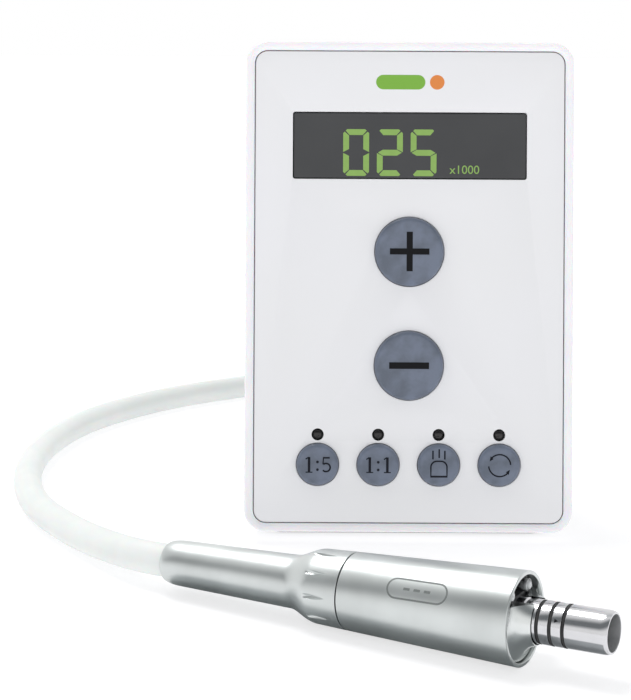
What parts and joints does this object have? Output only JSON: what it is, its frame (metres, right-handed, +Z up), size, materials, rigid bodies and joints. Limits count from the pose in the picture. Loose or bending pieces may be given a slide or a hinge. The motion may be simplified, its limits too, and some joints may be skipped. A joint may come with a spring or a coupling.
{
  "type": "dental electric micromotor set",
  "caption": "Desktop control console whose hose feeds a dental electric micromotor with a plain cylindrical drive nose.",
  "frame": {"origin": "centre of the underside of the console's base pad", "axes": "+X to the right of the console's face, +Y away from the operator, +Z up; the motor lies on its side in front of the console"},
  "size_m": [0.1834, 0.3098, 0.1353],
  "materials": {
    "frosted_plastic": "translucent white moulded acrylic, softly polished",
    "panel_plastic": "pale grey satin moulding",
    "housing_plastic": "white moulding with a fine spark-eroded grain",
    "smoked_acrylic": "dark grey smoked window, polished",
    "button_plastic": "slate blue-grey moulded caps, satin with a glossy rounded edge",
    "lamp_lens": "dark lens, unlit",
    "dark_rubber": "moulded rubber",
    "circuit_board": "green solder mask",
    "black_plastic": "black moulding",
    "turned_steel": "turned stainless steel",
    "satin_alloy": "fine bead-blasted satin metal",
    "polished_chrome": "polished and plated",
    "copper_winding": "varnished copper winding",
    "gold_contact": "gold-plated contacts",
    "clear_lens": "clear lens in front of a light-emitting diode",
    "grey_silicone": "light grey silicone hose, matt with a slight bloom"
  },
  "bodies": {
    "root": {"front_frame": "frosted_plastic", "front_panel": "panel_plastic", "display_window": "smoked_acrylic", "display_module": "black_plastic", "plus_switch": "black_plastic", "minus_switch": "black_plastic", "ratio_five_switch": "black_plastic", "ratio_one_switch": "black_plastic", "light_switch": "black_plastic", "direction_switch": "black_plastic", "main_board": "circuit_board", "status_lamp_1": "lamp_lens", "status_lamp_2": "lamp_lens", "status_lamp_3": "lamp_lens", "status_lamp_4": "lamp_lens", "rear_housing": "housing_plastic", "base_pad": "dark_rubber", "case_screw_1": "turned_steel", "case_screw_2": "turned_steel", "case_screw_3": "turned_steel", "case_screw_4": "turned_steel", "driver_board": "circuit_board", "pressure_sensor": "black_plastic", "ribbon_cable": "black_plastic", "power_inlet": "black_plastic", "unit_inlet": "turned_steel", "hose_gland": "dark_rubber", "hose_lead": "grey_silicone", "hose_coil": "grey_silicone", "hose_run": "grey_silicone", "hose_fitting": "turned_steel", "fitting_seal": "dark_rubber"},
    "plus_button": {"plus_button": "button_plastic"},
    "minus_button": {"minus_button": "button_plastic"},
    "ratio_five_button": {"ratio_five_button": "button_plastic"},
    "ratio_one_button": {"ratio_one_button": "button_plastic"},
    "light_button": {"light_button": "button_plastic"},
    "direction_button": {"direction_button": "button_plastic"},
    "nut": {"coupling_nut": "satin_alloy"},
    "motor": {"motor_casing": "satin_alloy", "coupling_nose": "polished_chrome", "front_cone": "satin_alloy", "lamp_left": "clear_lens", "lamp_right": "clear_lens", "nose_o_ring_1": "dark_rubber", "nose_o_ring_2": "dark_rubber", "nose_o_ring_3": "dark_rubber", "front_bearing_outer": "turned_steel", "rear_bearing_outer": "turned_steel", "stator": "copper_winding", "rear_plug": "turned_steel", "contact_pin_1": "gold_contact", "contact_pin_2": "gold_contact", "contact_pin_3": "gold_contact", "contact_pin_4": "gold_contact"},
    "rotor": {"rotor": "turned_steel", "front_bearing_inner": "turned_steel", "rear_bearing_inner": "turned_steel", "dog_spring": "turned_steel"},
    "dog": {"drive_dog": "turned_steel"}
  },
  "joints": [
    {"name": "plus_press", "type": "slide", "parent": "root", "child": "plus_button", "axis": [0, 0.9829, -0.184], "range_m": [0, 0.001], "stiffness_N_per_m": 600, "springref_m": -0.0003},
    {"name": "minus_press", "type": "slide", "parent": "root", "child": "minus_button", "axis": [0, 0.9829, -0.184], "range_m": [0, 0.001], "stiffness_N_per_m": 600, "springref_m": -0.0003},
    {"name": "ratio_five_press", "type": "slide", "parent": "root", "child": "ratio_five_button", "axis": [0, 0.9829, -0.184], "range_m": [0, 0.001], "stiffness_N_per_m": 600, "springref_m": -0.0003},
    {"name": "ratio_one_press", "type": "slide", "parent": "root", "child": "ratio_one_button", "axis": [0, 0.9829, -0.184], "range_m": [0, 0.001], "stiffness_N_per_m": 600, "springref_m": -0.0003},
    {"name": "light_press", "type": "slide", "parent": "root", "child": "light_button", "axis": [0, 0.9829, -0.184], "range_m": [0, 0.001], "stiffness_N_per_m": 600, "springref_m": -0.0003},
    {"name": "direction_press", "type": "slide", "parent": "root", "child": "direction_button", "axis": [0, 0.9829, -0.184], "range_m": [0, 0.001], "stiffness_N_per_m": 600, "springref_m": -0.0003},
    {"name": "nut_turn", "type": "hinge", "parent": "root", "child": "nut", "pos_m": [-0.01633, -0.09288, 0.00918], "axis": [-0.8575, 0.5132, -0.0349], "range_deg": [0, 1080]},
    {"name": "motor_draw_off", "type": "slide", "parent": "root", "child": "motor", "axis": [0.8575, -0.5132, 0.0349], "range_m": [0, 0.00225]},
    {"name": "rotor_spin", "type": "hinge", "parent": "motor", "child": "rotor", "pos_m": [0.0208, -0.1151, 0.01069], "axis": [0.8575, -0.5132, 0.0349], "continuous": true},
    {"name": "dog_slide", "type": "slide", "parent": "rotor", "child": "dog", "axis": [-0.8575, 0.5132, -0.0349], "range_m": [0, 0.001], "stiffness_N_per_m": 400, "springref_m": -0.0005, "deforming": ["dog_spring"]}
  ],
  "couplings": [
    {"joint": "nut_turn", "follows": "motor_draw_off", "rad_per_m": 8377.6}
  ]
}
